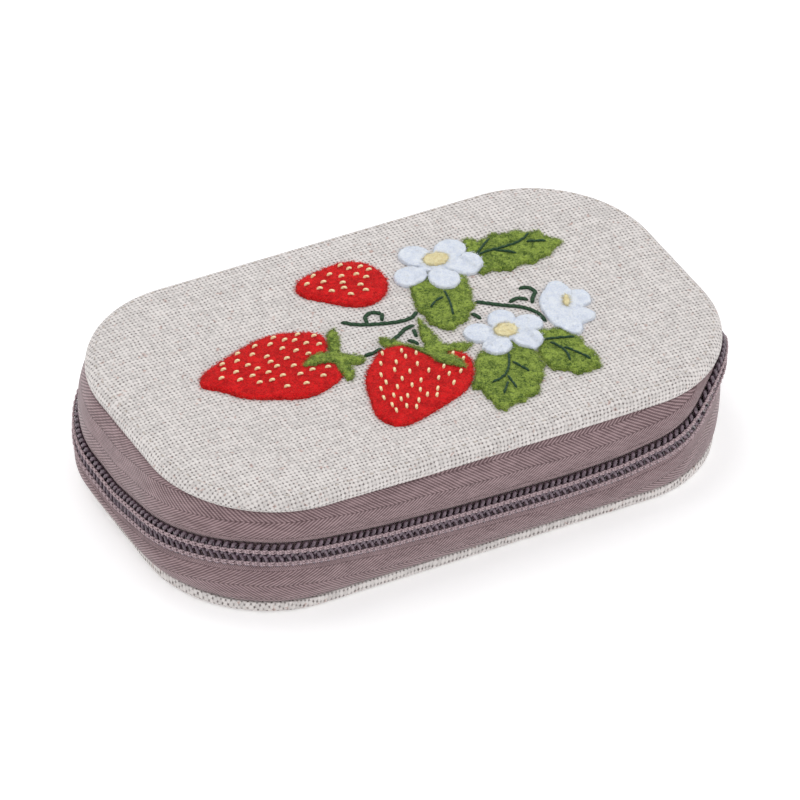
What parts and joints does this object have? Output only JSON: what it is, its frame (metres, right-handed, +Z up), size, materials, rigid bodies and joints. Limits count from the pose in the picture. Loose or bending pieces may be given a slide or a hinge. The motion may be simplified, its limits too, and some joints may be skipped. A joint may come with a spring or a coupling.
{
  "type": "zip-around sewing case",
  "caption": "Flat rounded-rectangle sewing case with a zip round three sides, a folding spine and a strawberry felt applique lid.",
  "frame": {"origin": "centre of the underside, on the surface the closed case lies on", "axes": "+X along the length, towards the slider's end; +Y from the front of the zip towards the spine; +Z up, out of the decorated lid"},
  "size_m": [0.1645, 0.0943, 0.0373],
  "materials": {
    "linen": "undyed plain-weave linen",
    "board": "grey pasteboard",
    "wadding": "thin polyester wadding",
    "lining": "plain cotton lining",
    "zip_tape": "mauve woven herringbone tape",
    "zip_coil": "dark mauve nylon coil",
    "slider_metal": "mauve enamel",
    "felt_red": "wool-blend felt",
    "felt_green": "wool-blend felt",
    "felt_white": "wool-blend felt",
    "felt_yellow": "wool-blend felt",
    "felt_cream": "wool-blend felt",
    "thread_cream": "stranded cotton thread",
    "thread_green": "stranded cotton thread",
    "thread_brown": "sewing thread",
    "elastic": "woven elastic"
  },
  "bodies": {
    "base": {"base_board": "board", "base_cover": "linen", "base_lining": "lining", "base_padding": "wadding", "elastic_loops": "elastic", "hinge_panel_lower": "linen", "lower_top_stop": "zip_coil", "lower_zip_coil": "zip_coil", "lower_zip_tape": "zip_tape", "needle_page": "felt_cream"},
    "lid": {"front_calyx": "felt_green", "front_strawberry": "felt_red", "front_strawberry_seeds": "thread_cream", "hinge_panel_upper": "linen", "leaf_lower": "felt_green", "leaf_middle": "felt_green", "leaf_right": "felt_green", "leaf_upper_right": "felt_green", "leaf_veins": "thread_green", "left_calyx": "felt_green", "left_strawberry": "felt_red", "left_strawberry_seeds": "thread_cream", "lid_board": "board", "lid_cover": "linen", "lid_lining": "lining", "lid_padding": "wadding", "lid_pocket": "lining", "lid_topstitch": "thread_brown", "lid_wadding": "wadding", "lower_flower": "felt_white", "lower_flower_eye": "felt_yellow", "pocket_binding": "linen", "side_flower": "felt_white", "side_flower_eye": "felt_yellow", "small_strawberry": "felt_red", "small_strawberry_seeds": "thread_cream", "stem_stitches": "thread_green", "upper_flower": "felt_white", "upper_flower_eye": "felt_yellow", "upper_top_stop": "zip_coil", "upper_zip_coil": "zip_coil", "upper_zip_tape": "zip_tape"},
    "slider": {"slider_body": "slider_metal"},
    "pull": {"pull_tab": "slider_metal"}
  },
  "joints": [
    {"name": "lid_hinge", "type": "hinge", "parent": "base", "child": "lid", "pos_m": [0, 0.0466, 0.017], "axis": [-1, 0, 0], "range_deg": [0, 175]},
    {"name": "slider_travel", "type": "slide", "parent": "base", "child": "slider", "axis": [0, -1, 0], "range_m": [0, 0.014]},
    {"name": "pull_tab_swing", "type": "hinge", "parent": "slider", "child": "pull", "pos_m": [0.0824, 0.0065, 0.017], "axis": [0, 0, -1], "range_deg": [0, 170]}
  ]
}
